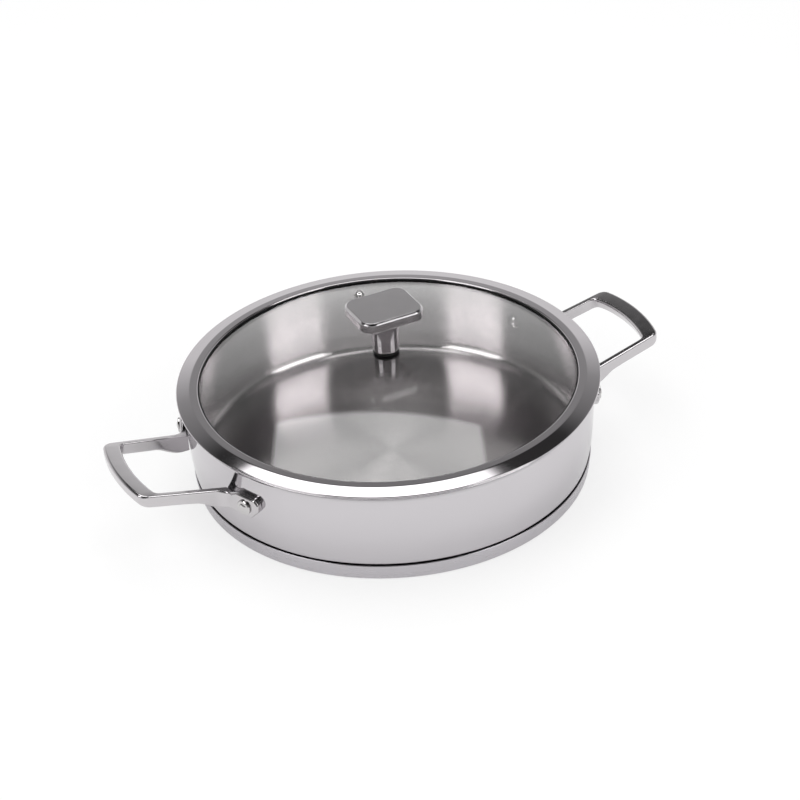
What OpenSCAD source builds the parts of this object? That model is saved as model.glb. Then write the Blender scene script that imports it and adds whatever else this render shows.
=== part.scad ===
/* [Pan] */
// Inside diameter of the pan, halfway up its straight wall
pan_inner_d = 280; // [220:1:320]
// Height of the pan's rim above the table
rim_z = 69; // [56:1:120]
// Thickness of the shell's steel sheet
wall_t = 0.8; // [0.5:0.1:1.6]
// Outer radius of the corner between wall and floor
corner_r = 9.5; // [8:0.5:16]
// Radius of the slow curve that leads from the corner into the straight wall
belly_r = 240; // [90:5:300]
// Height at which the straight part of the wall starts
belly_top_z = 37; // [28:1:45]
// How much wider the straight wall is at its top than at its foot, on the radius
wall_lean = 1.2; // [0:0.1:4]
// Radius of the outward bend that makes the pouring lip
lip_bend_r = 6; // [3:0.5:8]
// Angle through which the lip bends outward
lip_angle = 60; // [30:1:75]

/* [Base] */
// Thickness of the aluminium heat-spreading disc
core_t = 5.4; // [3:0.1:8]
// How far the disc's rim climbs round the shell's corner
core_climb = 1; // [0.4:0.1:2]
// Thickness of the steel cap under the disc
cap_t = 0.8; // [0.5:0.1:1.5]
// Height of the cap's side band above the table
cap_h = 11.4; // [9:0.1:14]
// Width of the groove between the cap's upper edge and the shell
groove_w = 0.6; // [0.2:0.1:0.9]
// How much narrower the cap is at its foot, on the radius
cap_taper = 1; // [0:0.1:3]
// Radius of the cap's bottom edge
cap_edge_r = 2; // [1:0.1:3]

/* [Handles] */
// Distance from the pan's wall to the outer edge of the grip
handle_reach = 60.2; // [40:0.1:80]
// Overall width of the handle at its outer corners
handle_w = 72.2; // [60:0.1:90]
// Width over the legs where they meet the pan
leg_root_w = 77; // [66:0.1:94]
// Height of the grip's top at its outer edge, above the rivets
grip_lift = 18.9; // [9:0.1:24]
// Slope of the handle, rise over run towards the grip
handle_slope = 0.23; // [0:0.01:0.35]
// Width of the grip bar, seen from above
grip_w = 11.2; // [7:0.1:14]
// Width of each leg, seen from above
leg_w = 3.8; // [3:0.1:6]
// Height of the grip and leg bars
bar_h = 8.5; // [6:0.1:11]
// Radius of the grip's bowed outer edge
grip_bow_r = 130; // [100:1:600]
// Radius of the handle's outer corners
grip_corner_r = 6.5; // [4:0.5:12]
// Radius of the opening's corners
hole_corner_r = 4.5; // [2:0.5:7]
// Length over which the legs' tops rise to the pads
leg_rise_l = 3; // [3:0.5:10]
// Length over which the legs' undersides drop to the pads
leg_drop_l = 18; // [8:0.5:20]

/* [Handle pads] */
// Height of the pads that lie on the wall
pad_h = 16; // [13:0.1:20]
// Thickness of the pads
pad_t = 4.5; // [3:0.1:7]
// Length of pad beyond the rivet
pad_end = 11.7; // [10:0.1:18]
// Cut on the upper corner of the pad's end
pad_top_cut = 3.2; // [2:0.1:6]
// Cut on the lower corner of the pad's end
pad_low_cut = 7.5; // [2:0.1:9]
// Radius of the inside bend from leg to pad
pad_bend_r = 9; // [3:0.5:12]

/* [Rivets] */
// Height of the rivets above the table
rivet_z = 43; // [38:0.5:52]
// Distance between the two rivets of one handle
rivet_spacing = 112.4; // [106:0.1:130]
// Diameter of the rivet's shank
rivet_d = 5; // [4:0.1:6]
// Diameter of the domed head inside the pan
rivet_head_d = 10.6; // [9:0.1:12]
// Height of the domed head
rivet_head_h = 2.6; // [1.5:0.1:4]
// Diameter of the washer under the closed end
washer_d = 10.6; // [9:0.1:12]
// Thickness of the washer
washer_t = 1.5; // [1:0.1:2.5]
// Diameter of the closed end
rivet_tail_d = 6.2; // [6.1:0.1:8]
// Height of the closed end
rivet_tail_h = 1.1; // [0.6:0.1:2]

/* [Lid ring] */
// Width of the ring's visible band
ring_band_w = 15; // [11:0.1:20]
// How far the ring reaches past the pan's lip
ring_overhang = 0.7; // [0.3:0.1:2]
// Thickness of the ring's steel sheet
ring_t = 0.8; // [0.5:0.1:1]
// Thickness of the ring's folded outer edge
hem_t = 1.4; // [1.1:0.1:2]
// How far the inner edge of the band stands above its outer edge
ring_crown = 1.5; // [0.8:0.1:3]
// Sideways play between the ring's skirt and the pan
skirt_play = 1.7; // [1:0.1:3]

/* [Lid glass] */
// Thickness of the tempered glass
glass_t = 4; // [3:0.1:6]
// Height of the glass dome between the band's inner edge and the centre
dome_rise = 19.6; // [10:0.1:40]
// Depth of the glass top below the crest of the band
glass_step = 1.8; // [1.5:0.1:3]
// Thickness of the sealing strip's lips
strip_t = 0.5; // [0.3:0.1:0.6]
// Width of sealing strip that shows inside the band
strip_show = 0.9; // [0.3:0.1:5]

/* [Steam vent] */
// Distance of the vent's centre from the band's inner edge
vent_inset = 29.5; // [12:0.5:60]
// Direction of the vent, turned from the handles' line
vent_angle = 75; // [0:1:359]
// Diameter of the vent's flange
vent_flange_d = 8.6; // [7:0.1:12]
// Height of the vent's domed top
vent_top_h = 2.4; // [1:0.1:4]
// Diameter of the vent's barrel
vent_barrel_d = 5.6; // [4:0.1:6.4]
// Diameter of the steam hole
vent_hole_d = 2.6; // [1.5:0.1:3.4]

/* [Knob] */
// Length of the knob's plate along the handles' line
plate_l = 46; // [32:0.5:60]
// Width of the knob's plate
plate_w = 39; // [28:0.5:50]
// Thickness of the knob's plate
plate_t = 7.5; // [6:0.1:10]
// Radius of the plate's corners
plate_corner_r = 9; // [5:0.5:13]
// Size of the polished chamfer round the plate's top
plate_chamfer = 1.3; // [0.5:0.1:2]
// Clear height of the stem between the upper seal and the plate
stem_h = 25.6; // [15:0.1:40]
// Diameter of the stem
stem_d = 18.4; // [16:0.1:22]
// Diameter of the stem's collar under the plate
collar_d = 23; // [23:0.1:26]
// Thickness of the upper black seal
upper_seal_t = 1.8; // [1:0.1:3]
// Thickness of the lower seal under the glass
lower_seal_t = 1.5; // [1:0.1:3]
// Diameter of both seals
seal_d = 18; // [14:0.1:20]
// Thickness of the steel washer under the lower seal
knob_washer_t = 1; // [0.6:0.1:2]
// Diameter of the steel washer
knob_washer_d = 15; // [13:0.1:16]
// Diameter of the knob's screw
screw_d = 5; // [4:0.1:6]
// Length of the screw inside the stem
screw_grip = 9; // [6:0.5:11]
// Diameter of the screw's head
screw_head_d = 10; // [8:0.1:12]
// Height of the screw's head
screw_head_h = 3; // [2:0.1:4]

/* [Hidden] */

$fn = 96;
// Smooth circle for the wide dome and the pan
fine_fn = 360;
// Gap where a piece sits on a curved neighbour of the same body
seat_gap = 0.15;
// Gap where the lid rests on the pan
rest_gap = 0.3;
// Clearance round shanks and barrels in their holes
hole_gap = 0.1;
// Overshoot of cutting shapes
over = 1;
// Steps on a rounded corner
arc_n = 8;

// Points on an arc about c with radius r, from angle a0 to angle a1
function arc_points(c, r, a0, a1, n = arc_n) =
    [for (i = [0 : n]) let (a = a0 + (a1 - a0) * i / n) c + r * [cos(a), sin(a)]];
// Points of a list read backwards
function backwards(pts) = [for (i = [len(pts) - 1 : -1 : 0]) pts[i]];
// Points mirrored to the other side of the X axis, read backwards
function mirrored(pts) = [for (p = backwards(pts)) [p.x, -p.y]];
function unit(v) = v / norm(v);
// Arc of radius r that replaces the corner b between a and c
function round_corner(a, b, c, r, n = arc_n) =
    let (u = unit(a - b), v = unit(c - b), half = acos(u * v) / 2,
         back = r / tan(half), mid = b + unit(u + v) * r / sin(half),
         p = b + u * back, q = b + v * back,
         a0 = atan2(p.y - mid.y, p.x - mid.x), turn = atan2(q.y - mid.y, q.x - mid.x) - a0,
         sweep = turn > 180 ? turn - 360 : turn < -180 ? turn + 360 : turn)
    arc_points(mid, r, a0, a0 + sweep, n);
function smooth_step(t) = t * t * (3 - 2 * t);

// Heights and radii of the pan
floor_z = cap_t + core_t;
lip_run = lip_bend_r * (1 - cos(lip_angle));
wall_top_z = rim_z - (lip_bend_r + wall_t) * sin(lip_angle);
wall_mid_r = pan_inner_d / 2 + wall_t;
wall_foot_r = wall_mid_r - wall_lean / 2;
wall_head_r = wall_mid_r + wall_lean / 2;
lean_a = atan2(wall_lean, wall_top_z - belly_top_z);
belly_c = [wall_foot_r - belly_r * cos(lean_a), belly_top_z + belly_r * sin(lean_a)];
corner_z = floor_z + corner_r;
corner_c = [belly_c.x + sqrt(pow(belly_r - corner_r, 2) - pow(belly_c.y - corner_z, 2)), corner_z];
// Direction in which the corner's arc meets the slow curve
blend_a = atan2(corner_z - belly_c.y, corner_c.x - belly_c.x);
lip_c = [wall_head_r + lip_bend_r, wall_top_z];
lip_outer_r = wall_head_r + lip_run;
// Outside radius of the wall at height z
function wall_r(z) = z < belly_top_z ? belly_c.x + sqrt(pow(belly_r, 2) - pow(belly_c.y - z, 2)) :
    wall_foot_r + wall_lean * (z - belly_top_z) / (wall_top_z - belly_top_z);

// Section of the shell's outside, moved inward by the distance d, from the floor's centre to the rim
function shell_side(d) = concat(
    [[0, floor_z + d]],
    arc_points(corner_c, corner_r - d, -90, blend_a),
    arc_points(belly_c, belly_r - d, blend_a * 0.75 - lean_a * 0.25, -lean_a, 3),
    arc_points(lip_c, lip_bend_r + d, 180 - lean_a, 180 - lip_angle));

// Outside of the wall beside the pads, filled and grown outward by the seat gap
module wall_seat() {
    z0 = rivet_z - pad_h / 2;
    z1 = rivet_z + pad_h / 2;
    lean = (wall_r(z1) - wall_r(z0)) / pad_h;
    reach = 2 * pad_h;
    rotate_extrude($fn = fine_fn)
        polygon([[0, z0 - reach], [wall_r(z0) + seat_gap - lean * reach, z0 - reach],
                 [wall_r(z1) + seat_gap + lean * reach, z1 + reach], [0, z1 + reach]]);
}

module pan_shell() {
    color("silver")
    difference() {
        rotate_extrude($fn = fine_fn)
            polygon(concat(shell_side(0), backwards(shell_side(wall_t))));
        rivet_holes(rivet_d / 2 + hole_gap);
    }
}

// Base cap and the disc it encloses
// Outside radius of the shell's corner at the cap's upper edge
corner_at_cap = corner_c.x + sqrt(pow(corner_r, 2) - pow(corner_z - cap_h, 2));
cap_inner_r = corner_at_cap + groove_w;
cap_r = cap_inner_r + cap_t;
cap_foot_r = cap_r - cap_taper;

module base_cap() {
    inner_edge_r = max(cap_edge_r - cap_t, 0.1);
    outside = concat([[0, 0]], arc_points([cap_foot_r - cap_edge_r, cap_edge_r], cap_edge_r, -90, 0),
                     [[cap_r, cap_h]]);
    inside = concat([[0, cap_t]],
                    arc_points([cap_foot_r - cap_t - inner_edge_r, cap_t + inner_edge_r],
                               inner_edge_r, -90, 0),
                    [[cap_inner_r, cap_h]]);
    color("lightgray")
    rotate_extrude($fn = fine_fn) polygon(concat(outside, backwards(inside)));
}

core_top_z = floor_z + core_climb;
// The disc follows the shell's corner at the seat gap
core_follow_r = corner_r + seat_gap;
core_rim_a = acos((corner_z - core_top_z) / core_follow_r) - 90;
module base_core() {
    foot_r = cap_foot_r - cap_edge_r - seat_gap;
    color("gainsboro")
    rotate_extrude($fn = fine_fn)
        polygon(concat([[0, cap_t], [foot_r, cap_t]],
                       arc_points(corner_c, core_follow_r, core_rim_a, -90),
                       [[0, floor_z - seat_gap]]));
}

// Handle measures, with the handle along +X
pad_r = wall_r(rivet_z) + pad_t;
reach_x = wall_mid_r + handle_reach;
grip_z = rivet_z + grip_lift;
rivet_a = asin(rivet_spacing / 2 / pad_r);
// Angle on the wall from the rivet to the pad's end
pad_end_a = rivet_a + pad_end / pad_r * 180 / PI;
// Depth that the plan reaches into the wall before it is cut to the wall's shape
plan_sink = 3;
root_y = leg_root_w / 2;
corner_y = handle_w / 2;
bow_c = [reach_x - grip_bow_r, 0];
hole_bow_r = grip_bow_r - grip_w;

// X of a bowed edge with radius r at sideways distance y
function bow_x(r, y) = bow_c.x + sqrt(r * r - y * y);
// Sideways distance of a leg's outer face at x
function leg_y(x) = let (x0 = bow_x(grip_bow_r, corner_y), x1 = wall_mid_r)
    corner_y + (root_y - corner_y) * (x0 - x) / (x0 - x1);
function leg_inner_y(x) = leg_y(x) - leg_w;

// Centre of the bend between the leg's outer face and the pad's outer face
bend_y = root_y + pad_bend_r;
bend_x = sqrt(pow(pad_r + pad_bend_r, 2) - bend_y * bend_y);
bend_a = atan2(bend_y, bend_x);

function handle_half() = let (
        grip_end = [bow_x(grip_bow_r, corner_y), corner_y],
        hole_y = leg_inner_y(reach_x - grip_w),
        hole_end = [bow_x(hole_bow_r, hole_y), hole_y],
        sunk_r = wall_r(rivet_z) - plan_sink)
    concat(
        [for (t = [0 : 0.25 : 0.75]) let (y = t * corner_y) [bow_x(grip_bow_r, y), y]],
        round_corner([bow_x(grip_bow_r, corner_y / 2), corner_y / 2], grip_end,
                     [wall_mid_r, root_y], grip_corner_r),
        arc_points([bend_x, bend_y], pad_bend_r, -90, bend_a - 180),
        arc_points([0, 0], pad_r, bend_a + (pad_end_a - bend_a) / arc_n, pad_end_a, arc_n - 1),
        arc_points([0, 0], sunk_r, pad_end_a, asin(leg_inner_y(wall_mid_r) / sunk_r), 4),
        round_corner([wall_mid_r, leg_inner_y(wall_mid_r)], hole_end,
                     [bow_x(hole_bow_r, hole_y / 2), hole_y / 2], hole_corner_r),
        [for (t = [0.75 : -0.25 : 0]) let (y = t * hole_y) [bow_x(hole_bow_r, y), y]]);

// Where the legs' tops and undersides reach the pads' height
rise_x = pad_r * cos(bend_a) - 1;
drop_x = wall_mid_r + 0.5;
function bar_top(x) = grip_z - handle_slope * (reach_x - x);
// Share of the pad's height at x, for a flare of length l that ends at x1
function pad_share(x, x1, l) = smooth_step(min(max((x1 + l - x) / l, 0), 1));
function side_top(x) = let (s = pad_share(x, rise_x, leg_rise_l))
    (1 - s) * bar_top(x) + s * (rivet_z + pad_h / 2);
function side_bottom(x) = let (s = pad_share(x, drop_x, leg_drop_l))
    (1 - s) * (bar_top(x) - bar_h) + s * (rivet_z - pad_h / 2);
// Places along the handle from the grip to the pads' ends, closer together over a flare
function flare_xs(x1, l) = concat([reach_x + over], [for (i = [0 : arc_n]) x1 + l * (1 - i / arc_n)],
                                  [pad_r * cos(pad_end_a) - plan_sink * 3]);

// Rivet holes and cut corners of one handle's two pads
module pad_cuts() {
    for (s = [-1, 1]) rotate([0, 0, s * rivet_a]) {
        translate([0, 0, rivet_z]) rotate([0, 90, 0])
            cylinder(h = pad_r + over, d = rivet_d + 2 * hole_gap);
        for (k = [-1, 1]) let (cut = k > 0 ? pad_top_cut : pad_low_cut)
            translate([0, s * pad_end, rivet_z + k * pad_h / 2]) rotate([45, 0, 0])
                translate([over, -cut / sqrt(2), -cut / sqrt(2)])
                    cube([2 * pad_r, cut * sqrt(2), cut * sqrt(2)]);
    }
}

module handle() {
    half = handle_half();
    intersection() {
        difference() {
            linear_extrude(height = grip_z + over) polygon(concat(half, mirrored(half)));
            wall_seat();
            pad_cuts();
        }
        rotate([90, 0, 0]) linear_extrude(height = leg_root_w * 3, center = true)
            polygon(concat([for (x = flare_xs(rise_x, leg_rise_l)) [x, side_top(x)]],
                           backwards([for (x = flare_xs(drop_x, leg_drop_l)) [x, side_bottom(x)]])));
    }
}

module handle_right() {
    color("darkgray") handle();
}

module handle_left() {
    color("darkgray") rotate([0, 0, 180]) handle();
}

// Directions of the four rivets round the pan
rivet_dirs = [rivet_a, -rivet_a, 180 - rivet_a, 180 + rivet_a];

module rivet_holes(r) {
    for (a = rivet_dirs) rotate([0, 0, a]) translate([0, 0, rivet_z]) rotate([0, 90, 0])
        cylinder(h = pad_r + over, r = r);
}

// Distance of the domed head's flat face from the pan's axis, clear of the curved wall
head_face_x = sqrt(pow(wall_r(rivet_z - rivet_head_d / 2) - wall_t, 2) - pow(rivet_head_d / 2, 2))
              - seat_gap;
washer_face_x = pad_r + seat_gap / 3;
tail_face_x = washer_face_x + washer_t;

// Half section of a ball's cap, flat side at y = 0, with diameter d and height h
module dome_section(d, h) {
    cap_ball_r = (d * d / 4 + h * h) / (2 * h);
    intersection() {
        translate([0, h - cap_ball_r]) circle(r = cap_ball_r, $fn = fine_fn);
        square([d, h]);
    }
}

module handle_rivets() {
    color("whitesmoke")
    for (a = rivet_dirs) rotate([0, 0, a]) translate([0, 0, rivet_z]) rotate([0, 90, 0]) {
        rotate_extrude() union() {
            translate([0, head_face_x]) mirror([0, 1]) dome_section(rivet_head_d, rivet_head_h);
            translate([0, head_face_x - over]) square([rivet_d / 2, tail_face_x - head_face_x + 1.5 * over]);
            translate([0, tail_face_x]) dome_section(rivet_tail_d, rivet_tail_h);
        }
    }
}

module rivet_washers() {
    edge = washer_t / 3;
    color("gray")
    for (a = rivet_dirs) rotate([0, 0, a]) translate([0, 0, rivet_z]) rotate([0, 90, 0])
        translate([0, 0, washer_face_x]) rotate_extrude()
            polygon([[rivet_d / 2 + hole_gap, 0], [washer_d / 2, 0], [washer_d / 2, washer_t - edge],
                     [washer_d / 2 - edge, washer_t], [rivet_d / 2 + hole_gap, washer_t]]);
}

// Lid ring heights and radii
ring_r = lip_outer_r + ring_overhang;
ring_under_z = rim_z + rest_gap;
hem_r = hem_t / 2;
hem_c = [ring_r - hem_r, ring_under_z + hem_r];
bead_r = ring_t;
band_inner_r = ring_r - ring_band_w;
bead_c = [band_inner_r + bead_r, ring_under_z + hem_t + ring_crown - bead_r];
skirt_r = wall_head_r - wall_t - skirt_play;
glass_r = skirt_r - ring_t - strip_t - 2 * seat_gap;

// Ball that the glass's top follows
glass_edge_z = bead_c.y + bead_r - glass_step;
ball_r = (band_inner_r * band_inner_r + dome_rise * dome_rise) / (2 * dome_rise);
ball_z = glass_edge_z + dome_rise - ball_r;
glass_top_z = ball_z + ball_r;
// Height of a surface that runs at distance d above the glass's top, at radius r
function over_glass(r, d) = ball_z + sqrt(pow(ball_r + d, 2) - r * r);
// The same surface as points from radius r0 to radius r1
function glass_line(r0, r1, d, n = 3) =
    [for (i = [0 : n]) let (r = r0 + (r1 - r0) * i / n) [r, over_glass(r, d)]];

vent_r = band_inner_r - vent_inset;

module vent_place() {
    translate([0, 0, ball_z]) rotate([0, 0, vent_angle]) rotate([0, asin(vent_r / ball_r), 0])
        translate([0, 0, ball_r]) children();
}

module lid_glass() {
    color("lightcyan", 0.5)
    difference() {
        rotate_extrude($fn = fine_fn) intersection() {
            translate([0, ball_z]) difference() {
                circle(r = ball_r, $fn = fine_fn * 4);
                circle(r = ball_r - glass_t, $fn = fine_fn * 4);
            }
            translate([0, ball_z]) square([glass_r, ball_r + over]);
        }
        translate([0, 0, glass_top_z - 2 * glass_t])
            cylinder(h = 3 * glass_t, d = screw_d + 4 * hole_gap);
        vent_place() translate([0, 0, -2 * glass_t])
            cylinder(h = 3 * glass_t, d = vent_barrel_d + 2 * hole_gap);
    }
}

// Sealing strip folded round the edge of the glass
module glass_strip() {
    show_r = band_inner_r - strip_show;
    edge_r = glass_r + seat_gap;
    top_in = seat_gap;
    top_out = seat_gap + strip_t;
    color("dimgray")
    rotate_extrude($fn = fine_fn)
        polygon(concat(glass_line(show_r, edge_r, top_in),
                       backwards(glass_line(show_r, edge_r, -glass_t - top_in)),
                       glass_line(show_r, edge_r + strip_t, -glass_t - top_out),
                       backwards(glass_line(show_r, edge_r + strip_t, top_out))));
}

// Lid ring: one folded sheet, from the bead over the band, round the hem and down to the channel
module lid_ring() {
    // Slope of the band from the bead's crest to the hem
    fall_a = atan2(ring_crown, hem_c.x - bead_c.x);
    bulge = 0.5;
    crest = bead_c + bead_r * [0, 1];
    edge = hem_c + hem_r * [0, 1];
    band = [for (t = [0 : 0.125 : 1]) let (drop = ring_crown * t * t)
            [crest.x + (edge.x - crest.x) * t, crest.y - drop]];
    skirt_top_z = ring_under_z;
    channel_d = -glass_t - 2 * seat_gap - strip_t;
    outside = concat(arc_points(bead_c, bead_r, 200, 90),
                     band,
                     arc_points(hem_c, hem_r, 90, -90),
                     arc_points([skirt_r + ring_t, skirt_top_z - ring_t], ring_t, 90, 180, 4),
                     [[skirt_r, over_glass(skirt_r, channel_d - ring_t)]],
                     backwards(glass_line(band_inner_r, skirt_r - ring_t / 2, channel_d - ring_t)));
    inside = concat(glass_line(band_inner_r, skirt_r - ring_t, channel_d),
                    [[skirt_r - ring_t, skirt_top_z + ring_t * 0.6],
                     [hem_c.x - hem_r, skirt_top_z + ring_t * 0.6],
                     [hem_c.x - hem_r, edge.y - ring_t * 0.6]],
                    backwards([for (t = [0.125 : 0.125 : 0.75]) let (drop = ring_crown * t * t)
                     [crest.x + (edge.x - crest.x) * t, crest.y - drop - ring_t]]),
                    [[bead_c.x + bead_r * 0.9, over_glass(bead_c.x, strip_t + 2 * seat_gap)],
                     [bead_c.x, over_glass(bead_c.x, strip_t + 2 * seat_gap)]]);
    color("slategray")
    rotate_extrude($fn = fine_fn) polygon(concat(outside, inside));
}

module vent_eyelet() {
    flange_r = vent_flange_d / 2;
    barrel_r = vent_barrel_d / 2;
    hole_r = vent_hole_d / 2;
    rim = 0.6;
    color("whitesmoke")
    vent_place() rotate_extrude()
        polygon([[hole_r, vent_top_h], [barrel_r - rim, vent_top_h - 0.2], [barrel_r + rim, 1],
                 [flange_r, rim], [flange_r, seat_gap], [barrel_r, seat_gap],
                 [barrel_r, -glass_t - seat_gap], [flange_r - rim, -glass_t - seat_gap],
                 [flange_r - rim, -glass_t - seat_gap - rim], [hole_r, -glass_t - seat_gap - rim]]);
}

// Knob heights, upward from the glass
seal_z = glass_top_z;
stem_z = seal_z + upper_seal_t;
plate_z = stem_z + stem_h;
under_z = glass_top_z - glass_t;
// Drop of the glass's underside across the lower seal
under_drop = under_z - over_glass(seal_d / 2, -glass_t) + seat_gap / 3;
lower_seal_z = under_z - under_drop - lower_seal_t;
washer_z = lower_seal_z - knob_washer_t;
spigot_d = 10;
spigot_h = 3;
plate_foot = 0.8;
collar_h = 1.6;

// Half section made whole, from points that start and end on the middle line
function mirrored_section(pts) =
    concat([for (i = [1 : len(pts) - 2]) pts[i]], [for (i = [len(pts) - 2 : -1 : 1]) [-pts[i].x, pts[i].y]]);

// Section of the plate's edge, out to the distance r, with both chamfers
function plate_edge(r) = [[0, 0], [r - plate_foot, 0], [r, plate_foot],
                          [r, plate_t - plate_chamfer], [r - plate_chamfer, plate_t], [0, plate_t]];

module knob_plate() {
    x = plate_l / 2 - plate_corner_r;
    y = plate_w / 2 - plate_corner_r;
    color("silver") union() {
        translate([0, 0, plate_z]) {
            for (i = [-1, 1]) for (j = [-1, 1]) translate([i * x, j * y, 0])
                rotate_extrude() polygon(plate_edge(plate_corner_r));
            rotate([90, 0, 0]) linear_extrude(height = 2 * y, center = true)
                polygon(mirrored_section(plate_edge(plate_l / 2)));
            rotate([90, 0, 90]) linear_extrude(height = 2 * x, center = true)
                polygon(mirrored_section(plate_edge(plate_w / 2)));
        }
        translate([0, 0, plate_z - spigot_h]) cylinder(h = spigot_h + over, d = spigot_d);
    }
}

module knob_stem() {
    stem_r = stem_d / 2;
    edge = 0.8;
    collar_r = collar_d / 2;
    spread = collar_r - stem_r;
    color("silver")
    difference() {
        translate([0, 0, stem_z]) rotate_extrude()
            polygon(concat([[0, 0], [stem_r - edge, 0]],
                           arc_points([stem_r - edge, edge], edge, -90, 0, 4),
                           [for (t = [0 : 0.25 : 1])
                            [stem_r + spread * t * t, stem_h - collar_h * 2 + collar_h * 2 * t - seat_gap / 3]],
                           [[0, stem_h - seat_gap / 3]]));
        translate([0, 0, plate_z - spigot_h - seat_gap])
            cylinder(h = spigot_h + over, d = spigot_d + 2 * hole_gap);
        translate([0, 0, stem_z - over]) cylinder(h = screw_grip + 2 * over, d = screw_d + 2 * hole_gap);
    }
}

// Flat ring with its hole for the screw
module ring_disc(d, t, z) {
    translate([0, 0, z]) difference() {
        cylinder(h = t, d = d);
        translate([0, 0, -over]) cylinder(h = t + 2 * over, d = screw_d + 2 * hole_gap);
    }
}

module upper_seal() {
    color("dimgray") ring_disc(seal_d, upper_seal_t, seal_z);
}

module lower_seal() {
    color("dimgray") ring_disc(seal_d, lower_seal_t, lower_seal_z);
}

module knob_washer() {
    color("gray") ring_disc(knob_washer_d, knob_washer_t, washer_z);
}

module knob_screw() {
    slot_w = 1.2;
    slot_depth = screw_head_h / 2;
    color("gray") difference() {
        rotate_extrude() union() {
            translate([0, washer_z]) mirror([0, 1]) dome_section(screw_head_d, screw_head_h);
            translate([0, washer_z - slot_depth / 4])
                square([screw_d / 2, stem_z - washer_z + screw_grip + slot_depth / 4]);
        }
        for (turn = [0, 90]) rotate([0, 0, turn])
            translate([-screw_head_d / 4, -slot_w / 2, washer_z - screw_head_h - over])
                cube([screw_head_d / 2, slot_w, slot_depth + over]);
    }
}

pan_shell();
base_core();
base_cap();
handle_left();
handle_right();
handle_rivets();
rivet_washers();
lid_glass();
lid_ring();
glass_strip();
vent_eyelet();
knob_plate();
knob_stem();
upper_seal();
lower_seal();
knob_washer();
knob_screw();
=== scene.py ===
import bmesh
import bpy
import math
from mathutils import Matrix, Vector
from mathutils.kdtree import KDTree


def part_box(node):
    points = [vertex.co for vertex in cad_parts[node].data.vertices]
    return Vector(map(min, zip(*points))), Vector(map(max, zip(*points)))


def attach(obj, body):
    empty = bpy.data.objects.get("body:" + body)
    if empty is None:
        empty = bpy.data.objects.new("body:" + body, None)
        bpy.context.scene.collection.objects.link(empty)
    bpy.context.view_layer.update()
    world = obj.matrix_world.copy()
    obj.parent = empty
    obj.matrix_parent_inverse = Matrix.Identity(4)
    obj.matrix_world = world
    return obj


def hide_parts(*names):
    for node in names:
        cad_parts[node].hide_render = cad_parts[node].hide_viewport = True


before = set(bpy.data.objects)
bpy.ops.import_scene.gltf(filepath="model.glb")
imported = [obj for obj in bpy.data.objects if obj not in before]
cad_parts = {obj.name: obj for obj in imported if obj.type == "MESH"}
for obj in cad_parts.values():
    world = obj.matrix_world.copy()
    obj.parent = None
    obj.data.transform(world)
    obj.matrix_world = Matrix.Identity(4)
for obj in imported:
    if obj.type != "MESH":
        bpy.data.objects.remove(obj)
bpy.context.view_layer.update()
mm = 0.001
weldReach = 0.002 * mm


# Workbench

def letGo():
    if bpy.context.object and bpy.context.object.mode != "OBJECT":
        bpy.ops.object.mode_set(mode="OBJECT")
    bpy.ops.object.select_all(action="DESELECT")


def grab(piece):
    letGo()
    piece.select_set(True)
    bpy.context.view_layer.objects.active = piece


def pointAt(radius, degrees):
    return radius * math.cos(math.radians(degrees)), radius * math.sin(math.radians(degrees))


def arc(centre, radius, start, end, count):
    # Points on an arc, from the angle start to the angle end in degrees
    turns = [pointAt(radius, start + (end - start) * i / count) for i in range(count + 1)]
    return [(centre[0] + x, centre[1] + y) for x, y in turns]


def straight(a, b, hold=0.2):
    # Two holding points on the line from a to b, so that its ends shade crisply
    a, b = Vector(a), Vector(b)
    step = (b - a).normalized() * min(hold, (b - a).length / 3)
    return [tuple(a + step), tuple(b - step)]


def drawOutline(name, points):
    # A plane merged to one point, which is then pushed along the outline in millimetres
    letGo()
    bpy.ops.mesh.primitive_plane_add(size=mm)
    piece = bpy.context.object
    piece.name = piece.data.name = name
    bpy.ops.object.mode_set(mode="EDIT")
    bpy.ops.mesh.select_mode(type="VERT")
    bpy.ops.mesh.select_all(action="SELECT")
    bpy.ops.mesh.merge(type="CENTER")
    bpy.ops.transform.translate(value=Vector(points[0]) * mm)
    extendOutline(points)
    return piece


def extendOutline(points):
    for here, there in zip(points, points[1:]):
        step = (Vector(there) - Vector(here)) * mm
        bpy.ops.mesh.extrude_region_move(TRANSFORM_OT_translate={"value": step})


def pick(piece, kind, test):
    # Selects the vertices, edges or faces of the open mesh for which the test holds
    modes = {"verts": "VERT", "edges": "EDGE", "faces": "FACE"}
    bpy.ops.mesh.select_mode(type=modes[kind])
    bpy.ops.mesh.select_all(action="DESELECT")
    work = bmesh.from_edit_mesh(piece.data)
    for part in getattr(work, kind):
        if test(part):
            part.select_set(True)
    work.select_flush_mode()
    bmesh.update_edit_mesh(piece.data)


def weld(piece):
    bpy.ops.mesh.select_mode(type="VERT")
    bpy.ops.mesh.select_all(action="SELECT")
    bpy.ops.mesh.remove_doubles(threshold=weldReach)
    bpy.ops.mesh.select_all(action="SELECT")
    bpy.ops.mesh.normals_make_consistent(inside=False)


def smooth(piece, degrees=30):
    grab(piece)
    bpy.ops.object.shade_smooth_by_angle(angle=math.radians(degrees))


def settle(piece):
    # Writes place and turn into the mesh, so that the object sits at the origin
    grab(piece)
    bpy.ops.object.transform_apply(location=True, rotation=True, scale=True)


def turn(name, profile, steps=288, closed=False, degrees=30):
    # Spins a profile of (radius, height) points in millimetres round the upright axis
    loop = profile + profile[:1] if closed else profile
    piece = drawOutline(name, [(r, 0, h) for r, h in loop])
    bpy.ops.mesh.select_all(action="SELECT")
    bpy.ops.mesh.remove_doubles(threshold=weldReach)
    bpy.ops.mesh.select_all(action="SELECT")
    bpy.ops.mesh.spin(steps=steps, angle=2 * math.pi, center=(0, 0, 0), axis=(0, 0, 1))
    weld(piece)
    smooth(piece, degrees)
    return piece


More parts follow.
